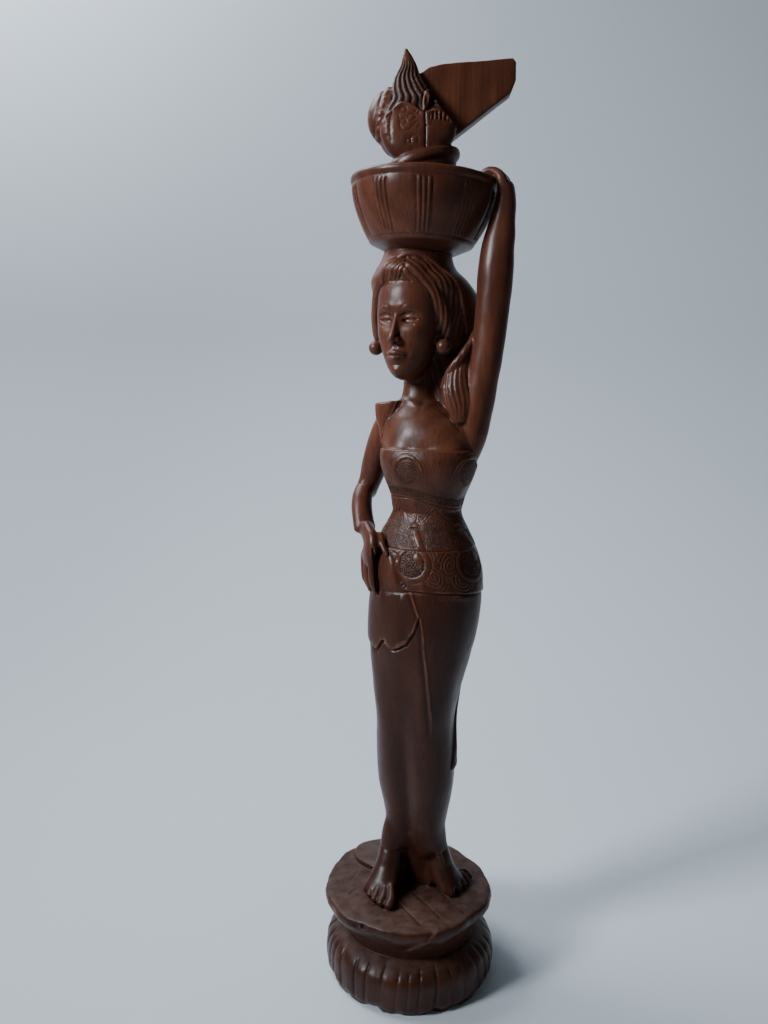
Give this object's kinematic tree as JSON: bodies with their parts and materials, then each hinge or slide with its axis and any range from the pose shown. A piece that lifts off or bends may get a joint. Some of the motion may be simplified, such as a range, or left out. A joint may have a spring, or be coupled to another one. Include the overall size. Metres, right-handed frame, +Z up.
{
  "type": "carved wooden statue",
  "caption": "Carved hardwood statue of a standing woman in a corset and wrapped sarong who steadies a bowl of offerings on her head, on a round base.",
  "frame": {"origin": "centre of the round base's underside, on the surface that the statue stands on", "axes": "+Z up along the figure's height; the figure faces -Y; +X is towards its raised left arm"},
  "size_m": [0.1178, 0.1163, 0.6],
  "materials": {
    "wood": "dark red-brown hardwood, satin lacquer, darker in the cuts"
  },
  "bodies": {
    "root": {"statue": "wood"}
  },
  "joints": []
}
